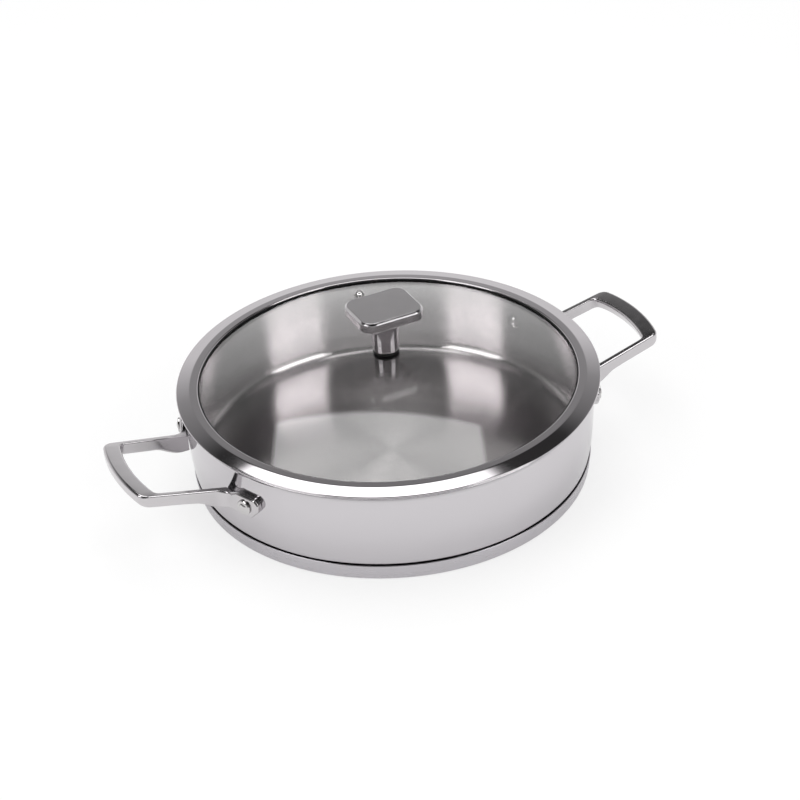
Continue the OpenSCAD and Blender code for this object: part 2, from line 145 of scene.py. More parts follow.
def useModifier(piece, kind, **settings):
    grab(piece)
    modifier = piece.modifiers.new(kind.lower(), kind)
    for key, value in settings.items():
        setattr(modifier, key, value)
    bpy.ops.object.modifier_apply(modifier=modifier.name)


def copyOf(piece, name):
    grab(piece)
    bpy.ops.object.duplicate()
    twin = bpy.context.object
    twin.name = twin.data.name = name
    return twin


def paint(piece, index, test):
    pick(piece, "faces", test)
    piece.active_material_index = index
    bpy.ops.object.material_slot_assign()


def finishPiece(piece, body, nodes, slotName, *materials):
    letGo()
    if not piece.data.materials:
        for material in materials:
            piece.data.materials.append(material)
    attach(piece, body)
    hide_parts(*nodes)


# Materials

def linear(hexColour):
    parts = [int(hexColour[i:i + 2], 16) / 255 for i in (1, 3, 5)]
    return [p / 12.92 if p <= 0.04045 else ((p + 0.055) / 1.055) ** 2.4 for p in parts] + [1]


def addNode(tree, kind, settings=None, links=None):
    node = tree.nodes.new(kind)
    for key, value in (settings or {}).items():
        if isinstance(key, int) or key in node.inputs:
            node.inputs[key].default_value = value
        else:
            setattr(node, key, value)
    for socket, source in (links or {}).items():
        tree.links.new(source, node.inputs[socket])
    return node


def startMaterial(name, **constants):
    # A material with its constants on the shader, and the object's own coordinates for its patterns
    material = bpy.data.materials.new(name)
    material.use_nodes = True
    tree = material.node_tree
    shader = tree.nodes["Principled BSDF"]
    for key, value in constants.items():
        shader.inputs[key.replace("_", " ")].default_value = value
    return material, tree, shader, addNode(tree, "ShaderNodeTexCoord").outputs["Object"]


def noiseAt(tree, place, size, detail, **more):
    # Noise with features about size millimetres wide
    settings = {"Scale": 1 / (size * mm), "Detail": detail, **more}
    return addNode(tree, "ShaderNodeTexNoise", settings, {"Vector": place}).outputs["Fac"]


def driveRoughness(tree, shader, source, low, high, start=0.3, end=0.7):
    level = addNode(tree, "ShaderNodeMapRange",
                    {"From Min": start, "From Max": end, "To Min": low, "To Max": high}, {"Value": source})
    tree.links.new(level.outputs["Result"], shader.inputs["Roughness"])


def driveBump(tree, shader, source, depth):
    bump = addNode(tree, "ShaderNodeBump", {"Distance": depth * mm, "Strength": 1}, {"Height": source})
    tree.links.new(bump.outputs["Normal"], shader.inputs["Normal"])


def driveColour(tree, shader, source, settings):
    shade = addNode(tree, "ShaderNodeMix", {"data_type": "RGBA"}, {"Factor": source})
    shade.inputs[6].default_value = linear(settings["dark"])
    shade.inputs[7].default_value = linear(settings["light"])
    tree.links.new(shade.outputs[2], shader.inputs["Base Color"])


def polishedSteel(name, settings):
    # 18/10 stainless sheet, drawn and then buffed on cloth wheels: reflections keep their edges,
    # the drawing leaves slow waves in them and the last buffing a faint uneven haze
    material, tree, shader, place = startMaterial(name, Base_Color=linear(settings["colour"]), Metallic=1)
    driveRoughness(tree, shader, noiseAt(tree, place, settings["hazeSize"], 4), *settings["roughness"])
    driveBump(tree, shader, noiseAt(tree, place, settings["waveLength"], 1), settings["waveHeight"])
    return material


def brushedSteel(name, settings):
    # Stainless sheet, satin ground on the lathe with a 240 grit belt: fine rings round the axis draw
    # every reflection out across them, and the grit leaves some rings deeper than others
    material, tree, shader, place = startMaterial(name, Base_Color=linear(settings["colour"]), Metallic=1,
                                                  Anisotropic=settings["stretch"])
    flat = addNode(tree, "ShaderNodeVectorMath", {"operation": "MULTIPLY", 1: (1, 1, 0)}, {0: place})
    radius = addNode(tree, "ShaderNodeVectorMath", {"operation": "LENGTH"}, {0: flat.outputs["Vector"]})
    parts = addNode(tree, "ShaderNodeSeparateXYZ", None, {"Vector": place})
    drift = addNode(tree, "ShaderNodeMath", {"operation": "MULTIPLY", 1: settings["drift"]},
                    {0: parts.outputs["X"]})
    ringPlace = addNode(tree, "ShaderNodeCombineXYZ", None,
                        {"X": radius.outputs["Value"], "Y": parts.outputs["Z"], "Z": drift.outputs["Value"]})
    rings = noiseAt(tree, ringPlace.outputs["Vector"], settings["ringSpacing"], 5, Roughness=0.6)
    driveRoughness(tree, shader, rings, *settings["roughness"])
    driveBump(tree, shader, rings, settings["ringDepth"])
    around = addNode(tree, "ShaderNodeVectorMath", {"operation": "CROSS_PRODUCT", 0: (0, 0, 1)},
                     {1: flat.outputs["Vector"]})
    normal = addNode(tree, "ShaderNodeNewGeometry").outputs["Normal"]
    across = addNode(tree, "ShaderNodeVectorMath", {"operation": "CROSS_PRODUCT"},
                     {0: normal, 1: around.outputs["Vector"]})
    straightened = addNode(tree, "ShaderNodeVectorMath", {"operation": "NORMALIZE"},
                           {0: across.outputs["Vector"]})
    tree.links.new(straightened.outputs["Vector"], shader.inputs["Tangent"])
    return material


def temperedGlass(name, settings):
    # Soda-lime float glass, sagged to a dome and tempered: clear with a trace of colour, and the
    # quench leaves a very slow ripple in what it mirrors
    material, tree, shader, place = startMaterial(name, Base_Color=linear(settings["colour"]),
                                                  Transmission_Weight=1, IOR=settings["ior"])
    driveBump(tree, shader, noiseAt(tree, place, settings["rippleSize"], 1), settings["rippleHeight"])
    wipe = noiseAt(tree, place, settings["wipeSize"], 3)
    driveRoughness(tree, shader, wipe, 0, settings["wipeRoughness"], 0.5, 0.8)
    return material


def siliconeRubber(name, settings):
    # Moulded black silicone: matt, with a grey bloom where it has been handled
    material, tree, shader, place = startMaterial(name, Roughness=settings["roughness"])
    driveColour(tree, shader, noiseAt(tree, place, settings["bloomSize"], 4), settings)
    return material


def makeGrooveShadeMaterial(name, settings):
    # Painted shade for the groove between shell and cap: the steel inside the joint is drawn as a dull dark
    # colour in cloudy patches, standing in for the shade down in the groove
    material, tree, shader, place = startMaterial(name, Roughness=settings["roughness"],
                                                  Metallic=settings["metallic"])
    driveColour(tree, shader, noiseAt(tree, place, settings["patchSize"], 3), settings)
    return material


outerSteel = polishedSteel("buffed_stainless_wall", {
    "colour": "#C6C3C6", "roughness": (0.05, 0.1), "hazeSize": 30, "waveLength": 45, "waveHeight": 0.03})
ringSteel = polishedSteel("buffed_stainless_ring", {
    "colour": "#C4C0C3", "roughness": (0.04, 0.08), "hazeSize": 25, "waveLength": 30, "waveHeight": 0.02})
castSteel = polishedSteel("polished_cast_stainless", {
    "colour": "#C4C1C3", "roughness": (0.09, 0.15), "hazeSize": 8, "waveLength": 9, "waveHeight": 0.03})
brightSteel = polishedSteel("cold_formed_stainless", {
    "colour": "#C8C6C6", "roughness": (0.08, 0.16), "hazeSize": 4, "waveLength": 4, "waveHeight": 0.02})
knobSteel = polishedSteel("satin_polished_knob_stainless", {
    "colour": "#C3C0C2", "roughness": (0.14, 0.2), "hazeSize": 8, "waveLength": 12, "waveHeight": 0.01})
innerSteel = brushedSteel("lathe_ground_stainless", {
    "colour": "#DFDBDD", "stretch": 1.0, "roughness": (0.17, 0.21),
    "ringSpacing": 1.1, "ringDepth": 0.0012, "drift": 0.02})
capSteel = brushedSteel("satin_stainless_cap", {
    "colour": "#C8C5C9", "stretch": 0.6, "roughness": (0.26, 0.32),
    "ringSpacing": 0.8, "ringDepth": 0.001, "drift": 0.03})
coreMetal = brushedSteel("pressed_aluminium", {
    "colour": "#D2D2D4", "stretch": 0.2, "roughness": (0.35, 0.5),
    "ringSpacing": 1.5, "ringDepth": 0.004, "drift": 0.2})
lidGlassStuff = temperedGlass("tempered_dome_glass", {
    "colour": "#FBFBFA", "ior": 1.52, "rippleSize": 60, "rippleHeight": 0.01,
    "wipeSize": 35, "wipeRoughness": 0.03})
# Painted shade: the dark colour that makes the groove between shell and cap read black
paintedGrooveShade = makeGrooveShadeMaterial("painted_groove_shade", {
    "roughness": 0.6, "metallic": 0.3, "patchSize": 4, "dark": "#121110", "light": "#24211F"})
sealRubber = siliconeRubber("black_silicone", {
    "roughness": 0.55, "bloomSize": 3, "dark": "#0B0B0C", "light": "#1C1C1D"})


# Pan

pan = {
    "wallMidRadius": 140.8, "lean": 1.2, "rimTop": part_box("pan_shell")[1].z / mm, "sheet": 0.8,
    "floorUnder": 6.2, "cornerRadius": 9.5, "bellyRadius": 240.0, "bellyTop": 37.0,
    "lipRadius": 6.0, "lipAngle": 60.0,
    # Half the rim's rounded edge in sheets, and the radius inside which floor and cap have no more rings
    "rimRound": 0.43, "flatRadius": 60.0,
}
base = {
    "capSheet": 0.8, "capHeight": 11.4, "groove": 0.6, "taper": 1.0, "edge": 2.0, "climb": 1.0,
    # How far below the cap's edge the painted groove shade ends, and the gap round the aluminium disc
    "shadeInset": 0.3, "coreGap": 0.15,
}
pan["wallTop"] = pan["rimTop"] - (pan["lipRadius"] + pan["sheet"]) * math.sin(math.radians(pan["lipAngle"]))
pan["wallFoot"] = pan["wallMidRadius"] - pan["lean"] / 2
pan["wallHead"] = pan["wallMidRadius"] + pan["lean"] / 2
pan["leanAngle"] = math.degrees(math.atan2(pan["lean"], pan["wallTop"] - pan["bellyTop"]))


def panCentres():
    # Centres of the slow curve and of the corner between wall and floor
    x, y = pointAt(pan["bellyRadius"], pan["leanAngle"])
    belly = (pan["wallFoot"] - x, pan["bellyTop"] + y)
    cornerHeight = pan["floorUnder"] + pan["cornerRadius"]
    run = math.sqrt((pan["bellyRadius"] - pan["cornerRadius"]) ** 2 - (belly[1] - cornerHeight) ** 2)
    return belly, (belly[0] + run, cornerHeight)


def wallRadius(height):
    if height < pan["bellyTop"]:
        belly = panCentres()[0]
        return belly[0] + math.sqrt(pan["bellyRadius"] ** 2 - (belly[1] - height) ** 2)
    share = (height - pan["bellyTop"]) / (pan["wallTop"] - pan["bellyTop"])
    return pan["wallFoot"] + pan["lean"] * share


def shellSide(inward):
    # The shell's section at a distance inward from its outside, from the floor's centre to the rim
    belly, corner = panCentres()
    meet = math.degrees(math.atan2(corner[1] - belly[1], corner[0] - belly[0]))
    floor = pan["floorUnder"] + inward
    cornerArc = arc(corner, pan["cornerRadius"] - inward, -90, meet, 14)
    bellyArc = arc(belly, pan["bellyRadius"] - inward, meet, -pan["leanAngle"], 8)[1:]
    lip = (pan["wallHead"] + pan["lipRadius"], pan["wallTop"])
    lipArc = arc(lip, pan["lipRadius"] + inward, 180 - pan["leanAngle"], 180 - pan["lipAngle"], 10)
    flat = (pan["flatRadius"], floor)
    return ([(0, floor), flat] + straight(flat, cornerArc[0]) + cornerArc + bellyArc
            + straight(bellyArc[-1], lipArc[0]) + lipArc)


def makeShell():
    outside, inside = shellSide(0), shellSide(pan["sheet"])
    # The cut rim is deburred, so it is drawn in a little and rounded
    edgeMid = ((outside[-1][0] + inside[-1][0]) / 2, (outside[-1][1] + inside[-1][1]) / 2)
    overrun = 5
    rim = arc(edgeMid, pan["sheet"] * pan["rimRound"], -pan["lipAngle"] - overrun,
              180 - pan["lipAngle"] + overrun, 6)
    shell = turn("panShell", outside[:-1] + rim + inside[-2::-1])
    bpy.ops.object.mode_set(mode="EDIT")
    shell.data.materials.append(outerSteel)
    shell.data.materials.append(innerSteel)
    shell.data.materials.append(paintedGrooveShade)
    innerFloor = (pan["floorUnder"] + pan["sheet"] / 2) * mm

    def facesIn(face):
        middle = face.calc_center_median()
        inward = face.normal.dot(Vector((middle.x, middle.y, 0))) < 0
        return middle.z > innerFloor and (face.normal.z > 0.5 or inward)

    paint(shell, 1, facesIn)
    # The shell's faces under the cap's edge carry the painted groove shade
    covered = (base["capHeight"] - base["shadeInset"]) * mm
    paint(shell, 2, lambda f: not facesIn(f) and f.calc_center_median().z < covered)
    finishPiece(shell, "pan", ["pan_shell"], "shell_steel")


def makeBase():
    corner = panCentres()[1]
    cornerAtCap = corner[0] + math.sqrt(pan["cornerRadius"] ** 2 - (corner[1] - base["capHeight"]) ** 2)
    inner = cornerAtCap + base["groove"]
    outer = inner + base["capSheet"]
    foot = outer - base["taper"]
    footCentre = (foot - base["edge"], base["edge"])
    top = base["capHeight"]
    lip = base["capSheet"] / 2
    outerArc = arc(footCentre, base["edge"], -90, 0, 8)
    innerArc = arc(footCentre, base["edge"] - base["capSheet"], 0, -90, 6)
    topArc = arc((outer - lip, top - lip), lip, 0, 180, 8)
    flat = pan["flatRadius"]
    cap = turn("baseCap", [(0, 0), (flat, 0)] + straight((flat, 0), outerArc[0]) + outerArc
               + straight(outerArc[-1], topArc[0]) + topArc + innerArc
               + [(flat, base["capSheet"]), (0, base["capSheet"])])
    bpy.ops.object.mode_set(mode="EDIT")
    cap.data.materials.append(capSteel)
    cap.data.materials.append(paintedGrooveShade)

    def inJoint(face):
        middle = face.calc_center_median()
        inward = face.normal.dot(Vector((middle.x, middle.y, 0)).normalized()) < -0.3
        within = base["capSheet"] / 2 * mm < middle.z < (top - lip * 1.2) * mm
        return within and (inward or face.normal.z > 0.5)

    # The cap's faces inside the joint carry the painted groove shade
    paint(cap, 1, inJoint)
    finishPiece(cap, "pan", ["base_cap"], "cap_steel")
    gap = base["coreGap"]
    follow = pan["cornerRadius"] + gap
    coreTop = pan["floorUnder"] + base["climb"]
    rimAngle = math.degrees(math.acos((corner[1] - coreTop) / follow)) - 90
    core = turn("aluminiumDisc", [(0, base["capSheet"]), (foot - base["edge"] - gap, base["capSheet"])]
                + arc(corner, follow, rimAngle, -90, 6) + [(0, pan["floorUnder"] - gap)])
    finishPiece(core, "pan", ["base_core"], "core_aluminium", coreMetal)


# Handles

handle = {
    "reach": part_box("handle_right")[1].x / mm, "width": 72.2, "rootWidth": 77.0,
    "gripLift": 18.9, "slope": 0.23, "gripWidth": 11.2, "legWidth": 3.8, "barHeight": 8.5,
    "bow": 130.0, "cornerRadius": 6.5, "holeRadius": 4.5, "bendRadius": 9.0, "seatGap": 0.15,
    # Angles on the wall between which the top rises to the pad, and the length over which the underside drops
    "riseAngles": (15.6, 20.2), "drop": 18.0, "dropStart": 0.5,
    "padHeight": 16.0, "padThickness": 4.5, "padEnd": 11.7,
    "padTopCut": 3.2, "padLowCut": 7.5, "padEndRound": 0.9,
    # Where the section changes from the leg's to the grip's, and how far the grip's inner side leans
    "gripStart": 180.0, "gripFull": 188.0, "gripSpread": 1.5, "gripLean": 2.4,
    # Radii of the section's corners: inner top, outer top, outer low, inner low
    "legRounds": (1.8, 1.8, 1.3, 1.0), "gripRounds": (2.0, 1.8, 3.6, 2.0), "padRounds": (0.3, 2.2, 1.6, 0.3),
}
rivet = {
    "height": 43.0, "spacing": 112.4, "shank": 5.0, "headWidth": 10.6, "headHeight": 2.6,
    "washerWidth": 10.6, "washerThickness": 1.5, "tailWidth": 6.2, "tailHeight": 1.1,
}
padRadius = wallRadius(rivet["height"]) + handle["padThickness"]
rivetAngle = math.degrees(math.asin(rivet["spacing"] / 2 / padRadius))
padEndAngle = rivetAngle + math.degrees(handle["padEnd"] / padRadius)


def roundCorner(a, b, c, radius, count):
    # Arc that replaces the corner b between a and c
    a, b, c = Vector(a), Vector(b), Vector(c)
    toA, toC = (a - b).normalized(), (c - b).normalized()
    half = toA.angle(toC) / 2
    centre = b + (toA + toC).normalized() * radius / math.sin(half)
    start = b + toA * radius / math.tan(half) - centre
    end = b + toC * radius / math.tan(half) - centre
    first = math.degrees(math.atan2(start.y, start.x))
    sweep = (math.degrees(math.atan2(end.y, end.x)) - first + 180) % 360 - 180
    return arc(centre, radius, first, first + sweep, count)


def between(a, b, count):
    return [tuple(Vector(a).lerp(Vector(b), i / count)) for i in range(1, count)]


def easeIn(value, start, end):
    # 0 before the start, 1 after the end, with a soft curve between
    share = min(max((value - start) / (end - start), 0), 1)
    return share * share * (3 - 2 * share)


def barHeights(x, high):
    # Underside and top of the bar at a place along the handle, high being the pad's share in the top
    dropEnd = pan["wallMidRadius"] + handle["dropStart"]
    top = rivet["height"] + handle["gripLift"] - handle["slope"] * (handle["reach"] - x)
    low = 1 - easeIn(x, dropEnd, dropEnd + handle["drop"])
    half = handle["padHeight"] / 2
    return ((1 - low) * (top - handle["barHeight"]) + low * (rivet["height"] - half),
            (1 - high) * top + high * (rivet["height"] + half))


def softCut(fromEnd, cut):
    # Height taken off by a sloping cut at the pad's end, with its edge rounded over
    soft = 1.0
    if fromEnd > cut + soft:
        return 0
    return cut - fromEnd if fromEnd < cut - soft else (cut + soft - fromEnd) ** 2 / (4 * soft)


def sectionAt(outer, inner, gripShare, padShare, fromEnd=math.inf, inset=0):
    # Rounded section of the bar between a place on its inner and one on its outer edge
    outer, inner = Vector(outer), Vector(inner)
    along = (outer - inner).normalized()
    width = (outer - inner).length - inset
    high = easeIn(math.degrees(math.atan2(outer.y, outer.x)), *handle["riseAngles"])
    outerLow, outerTop = barHeights(outer.x, high)
    innerLow, innerTop = barHeights(inner.x, high)
    topCut, lowCut = (softCut(fromEnd, handle[key]) + inset for key in ("padTopCut", "padLowCut"))
    lean = padShare * (wallRadius(rivet["height"] + handle["padHeight"] / 2) - wallRadius(rivet["height"]))
    corners = [(lean - gripShare * handle["gripSpread"], innerTop - topCut), (width, outerTop - topCut),
               (width, outerLow + lowCut), (gripShare * handle["gripLean"] - lean, innerLow + lowCut)]
    cornerSteps = 5
    points = []
    for i in range(4):
        leg, grip, pad = (handle[key][i] for key in ("legRounds", "gripRounds", "padRounds"))
        radius = leg + (grip - leg) * gripShare + (pad - leg) * padShare
        points += roundCorner(corners[i - 1], corners[i], corners[(i + 1) % 4], radius, cornerSteps)
    return [(*(inner + along * u), height) for u, height in points]


def handleSections():
    # Sections of half a handle, from the grip's middle to the pad's end
    bowX = handle["reach"] - handle["bow"]
    innerBow = handle["bow"] - handle["gripWidth"]

    def bowPoint(radius, y):
        return bowX + math.sqrt(radius ** 2 - y ** 2), y

    gripSteps, legSteps, bendSteps, roundSteps = 8, 16, 8, 10
    # Where on the bow the corners' rounding takes its direction, and how far the wall line leads the bend
    nearCorner, wallLead = 0.7, 1.0
    cornerY, rootY = handle["width"] / 2, handle["rootWidth"] / 2
    corner = bowPoint(handle["bow"], cornerY)
    root = (pan["wallMidRadius"], rootY)
    outerRound = roundCorner(bowPoint(handle["bow"], cornerY * nearCorner), corner, root,
                             handle["cornerRadius"], roundSteps)
    lean = (root[1] - corner[1]) / (root[0] - corner[0])
    holeX = innerBow + bowX
    innerRoot = (root[0], rootY - handle["legWidth"])
    holeY = cornerY + lean * (holeX - corner[0]) - handle["legWidth"]
    hole = bowPoint(innerBow, holeY)
    innerRound = roundCorner(bowPoint(innerBow, holeY * nearCorner), hole, innerRoot,
                             handle["holeRadius"], roundSteps)
    outer = [bowPoint(handle["bow"], outerRound[0][1] * i / gripSteps) for i in range(gripSteps)] + outerRound
    inner = [bowPoint(innerBow, innerRound[0][1] * i / gripSteps) for i in range(gripSteps)] + innerRound
    bendY = rootY + handle["bendRadius"]
    bendX = math.sqrt((padRadius + handle["bendRadius"]) ** 2 - bendY ** 2)
    bendAngle = math.degrees(math.atan2(bendY, bendX))
    bend = arc((bendX, bendY), handle["bendRadius"], -90, bendAngle - 180, bendSteps)
    wall = wallRadius(rivet["height"]) + handle["seatGap"]
    innerAngle = math.degrees(math.asin(innerRoot[1] / wall))
    wallStart = pointAt(wall, innerAngle)
    outer += between(outer[-1], bend[0], legSteps) + bend
    inner += between(inner[-1], wallStart, legSteps)
    bendStart = len(inner)
    inner += arc((0, 0), wall, innerAngle, bendAngle + wallLead, bendSteps)
    sections = []
    for i, (o, n) in enumerate(zip(outer, inner)):
        gripShare = easeIn(n[0], handle["gripStart"], handle["gripFull"])
        sections.append(sectionAt(o, n, gripShare, min(max((i - bendStart) / bendSteps, 0), 1)))
    run = math.radians(padEndAngle - bendAngle) * padRadius
    low, top, turnOver = handle["padLowCut"], handle["padTopCut"], handle["padEndRound"]
    # Distances from the pad's end, close together where the sloping cuts begin, and how far each is drawn in
    beforeCut = low + 1.4
    aroundCut = (1, 0.5, 0, -0.5, -1)
    places = [(run + (beforeCut - run) * i / 3, 0) for i in (1, 2, 3)]
    places += [(low + d, 0) for d in aroundCut] + [((low + top) / 2, 0)]
    places += [(top + d, 0) for d in aroundCut] + [(turnOver + 0.5, 0)]
    for a in (0, 30, 60, 90):
        x, y = pointAt(turnOver, a)
        places.append((turnOver - y, turnOver - x))
    for fromEnd, inset in places:
        angle = padEndAngle - math.degrees(fromEnd / padRadius)
        wallAngle = max(angle, bendAngle + wallLead + 0.2)
        o = pointAt(padRadius, angle)
        n = pointAt(wall + inset / 2, wallAngle)
        sections.append(sectionAt(o, n, 0, 1, fromEnd, inset))
    return sections


def loft(name, sections):
    # One line along the bar for every point of its section, bridged all round and closed at both ends
    lines = list(zip(*sections))
    piece = drawOutline(name, lines[0])
    for line in lines[1:]:
        bpy.ops.mesh.select_all(action="DESELECT")
        bpy.ops.mesh.primitive_plane_add(size=mm, location=Vector(line[0]) * mm)
        bpy.ops.mesh.merge(type="CENTER")
        extendOutline(line)
    count = len(sections)
    finder = KDTree(count * len(lines))
    for k, line in enumerate(lines):
        for i, point in enumerate(line):
            finder.insert(Vector(point) * mm, k * count + i)
    finder.balance()
    for k in range(len(lines)):
        wanted = {k, (k + 1) % len(lines)}

        def onLines(edge):
            first, second = (finder.find(v.co)[1] // count for v in edge.verts)
            return first == second and first in wanted

        pick(piece, "edges", onLines)
        bpy.ops.mesh.bridge_edge_loops()
    for end in (0, count - 1):
        pick(piece, "verts", lambda v: finder.find(v.co)[1] % count == end)
        bpy.ops.mesh.edge_face_add()
    return piece


def makeHandle():
    half = handleSections()
    mirrored = [[(x, -y, z) for x, y, z in section] for section in half[:0:-1]]
    piece = loft("handleRight", mirrored + half)
    weld(piece)
    smooth(piece, 40)
    useModifier(piece, "WEIGHTED_NORMAL", keep_sharp=True)
    left = copyOf(piece, "handleLeft")
    left.rotation_euler[2] = math.pi
    settle(left)
    finishPiece(piece, "pan", ["handle_right"], "handle_steel", castSteel)
    finishPiece(left, "pan", ["handle_left"], "handle_steel", castSteel)


# Rivets

def atRivets(piece, names, nodes, material):
    # The piece is turned upright round the origin, laid along the pan's radius and copied four times
    piece.rotation_euler[1] = math.pi / 2
    settle(piece)
    angles = (rivetAngle, -rivetAngle, 180 - rivetAngle, 180 + rivetAngle)
    copies = [piece] + [copyOf(piece, name) for name in names[1:]]
    piece.name = piece.data.name = names[0]
    for copy, angle in zip(copies, angles):
        copy.rotation_euler[2] = math.radians(angle)
        copy.location[2] = rivet["height"] * mm
        settle(copy)
        finishPiece(copy, "pan", nodes, "rivet_steel", material)


def domeArc(width, height, level, up, count=10):
    # Points of a low dome, from its rim to its top
    ball = (width ** 2 / 4 + height ** 2) / (2 * height)
    spread = math.degrees(math.asin(width / 2 / ball))
    return [(x, level + up * (y + height - ball)) for x, y in arc((0, 0), ball, 90 - spread, 90, count)]


def makeRivets():
    wallInside = wallRadius(rivet["height"] - rivet["headWidth"] / 2) - pan["sheet"]
    face = math.sqrt(wallInside ** 2 - (rivet["headWidth"] / 2) ** 2) - handle["seatGap"]
    washerFace = padRadius + handle["seatGap"] / 3
    tailFace = washerFace + rivet["washerThickness"]
    headEdge = 0.25
    head = domeArc(rivet["headWidth"] - headEdge, rivet["headHeight"], face, -1)
    shank = rivet["shank"] / 2
    tail = domeArc(rivet["tailWidth"], rivet["tailHeight"], tailFace, 1, 8)
    profile = ([*reversed(head)] + [(rivet["headWidth"] / 2, face), (shank, face), (shank, tailFace)] + tail)
    body = turn("rivetStart", profile, 48)
    corners = ("RightBack", "RightFront", "LeftBack", "LeftFront")
    atRivets(body, ["rivet" + corner for corner in corners], ["handle_rivets"], brightSteel)
    radius, chamfer = rivet["washerWidth"] / 2, rivet["washerThickness"] / 3
    hole, low, high, edge, deburr = shank + 0.1, washerFace, tailFace, 0.15, 0.2
    profile = [(hole, low), (radius - edge, low), (radius, low + edge), (radius, high - chamfer),
               (radius - chamfer, high), (hole + deburr, high), (hole, high - deburr)]
    washer = turn("washerStart", profile, 48, closed=True, degrees=25)
    atRivets(washer, ["washer" + corner for corner in corners], ["rivet_washers"], brightSteel)


# Lid

lid = {
    "ringRadius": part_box("lid_ring")[1].x / mm, "bandWidth": 15.0, "sheet": 0.8, "hem": 1.4,
    "crown": 1.5, "crease": 0.36, "creaseSoft": 0.03, "restGap": 0.3, "skirtPlay": 1.7,
    "glass": 4.0, "rise": 19.6, "step": 1.8, "groundEdge": 0.6, "strip": 0.5, "stripShow": 0.9, "gap": 0.15,
    "screwHole": 5.4, "ventInset": 29.5, "ventAngle": 75.0,
}
lid["bandInner"] = lid["ringRadius"] - lid["bandWidth"]
lid["under"] = pan["rimTop"] + lid["restGap"]
lid["skirt"] = pan["wallHead"] - pan["sheet"] - lid["skirtPlay"]
lid["glassRadius"] = lid["skirt"] - lid["sheet"] - lid["strip"] - 2 * lid["gap"]
lid["crest"] = lid["under"] + lid["hem"] + lid["crown"]
lid["ball"] = (lid["bandInner"] ** 2 + lid["rise"] ** 2) / (2 * lid["rise"])
lid["glassTop"] = lid["crest"] - lid["step"] + lid["rise"]
lid["ballHeight"] = lid["glassTop"] - lid["ball"]


def overGlass(radius, distance):
    # Height of the surface that runs at a distance above the glass's upper face
    return lid["ballHeight"] + math.sqrt((lid["ball"] + distance) ** 2 - radius ** 2)


def glassLine(start, end, distance, count):
    radii = [start + (end - start) * i / count for i in range(count + 1)]
    return [(r, overGlass(r, distance)) for r in radii]


def makeGlass():
    edge, hole, ground = lid["glassRadius"], lid["screwHole"] / 2, lid["groundEdge"]
    upper = glassLine(hole, edge - ground, 0, 30)
    lower = glassLine(edge - ground, hole, -lid["glass"], 30)
    top, bottom = overGlass(edge, 0) - ground, overGlass(edge, -lid["glass"]) + ground
    glass = turn("domeGlass", upper + [(edge, top), (edge, bottom)] + lower, 360, closed=True)
    finishPiece(glass, "lid", ["lid_glass"], "lid_glass", lidGlassStuff)


def makeRing():
    sheet, bead = lid["sheet"], lid["sheet"]
    beadCentre = (lid["bandInner"] + bead, lid["crest"] - bead)
    hemRadius = lid["hem"] / 2
    hemCentre = (lid["ringRadius"] - hemRadius, lid["under"] + hemRadius)
    run = hemCentre[0] - beadCentre[0]
    # The band is flat beside the bead and falls as a cone beyond a soft crease
    flatEnd, coneStart = lid["crease"] - lid["creaseSoft"], lid["crease"] + lid["creaseSoft"]
    places = [i / 10 * flatEnd for i in range(10)]
    places += [lid["crease"] + lid["creaseSoft"] * d for d in (-1, -0.5, 0, 0.5, 1)]
    places += [coneStart + (1 - coneStart) * i / 10 for i in range(1, 11)]

    def fallAt(place):
        if place < flatEnd:
            return 0
        if place < coneStart:
            return (place - flatEnd) ** 2 / (4 * lid["creaseSoft"])
        return place - lid["crease"]

    slope = lid["crown"] / fallAt(places[-1])
    band = [(beadCentre[0] + run * t, lid["crest"] - slope * fallAt(t)) for t in places]
    channel = -lid["glass"] - 2 * lid["gap"] - lid["strip"]
    skirt, bandInner = lid["skirt"], lid["bandInner"]
    outside = (arc(beadCentre, bead, 200, 90, 10) + band[1:-1] + arc(hemCentre, hemRadius, 90, -90, 12)
               + arc((skirt + sheet, lid["under"] - sheet), sheet, 90, 180, 6)
               + [(skirt, overGlass(skirt, channel - sheet))]
               + glassLine(skirt - sheet / 2, bandInner, channel - sheet, 3))
    hemStart, hemLayer = hemCentre[0] - hemRadius, sheet * 0.6
    overStrip = overGlass(beadCentre[0], lid["strip"] + 2 * lid["gap"])
    inside = (glassLine(bandInner, skirt - sheet, channel, 3)
              + [(skirt - sheet, lid["under"] + hemLayer), (hemStart, lid["under"] + hemLayer),
                 (hemStart, lid["under"] + lid["hem"] - hemLayer)]
              + [(x, z - sheet) for x, z in band[18:1:-2]]
              + [(beadCentre[0] + bead * 0.9, overStrip), (beadCentre[0], overStrip)])
    ring = turn("foldedRing", outside + inside, 360, closed=True)
    finishPiece(ring, "lid", ["lid_ring"], "ring_steel", ringSteel)


def makeStrip():
    start, end = lid["bandInner"] - lid["stripShow"], lid["glassRadius"] + lid["gap"]
    near, far = lid["gap"], lid["gap"] + lid["strip"]
    profile = (glassLine(start, end, near, 3) + glassLine(end, start, -lid["glass"] - near, 3)
               + glassLine(start, end + lid["strip"], -lid["glass"] - far, 3)
               + glassLine(end + lid["strip"], start, far, 3))
    strip = turn("sealingStrip", profile, 288, closed=True)
    finishPiece(strip, "lid", ["glass_strip"], "seal_rubber", sealRubber)


vent = {
    "flange": 8.6, "topHeight": 2.4, "barrel": 5.6, "hole": 2.6, "rim": 0.6,
    # Heights of the barrel's foot and of the fillet's end on the flange, and the small edge roundings
    "barrelFoot": 1.5, "filletEnd": 0.9, "holeEdge": 0.3, "barrelEdge": (0.1, 0.45), "flangeEdge": 0.2,
}


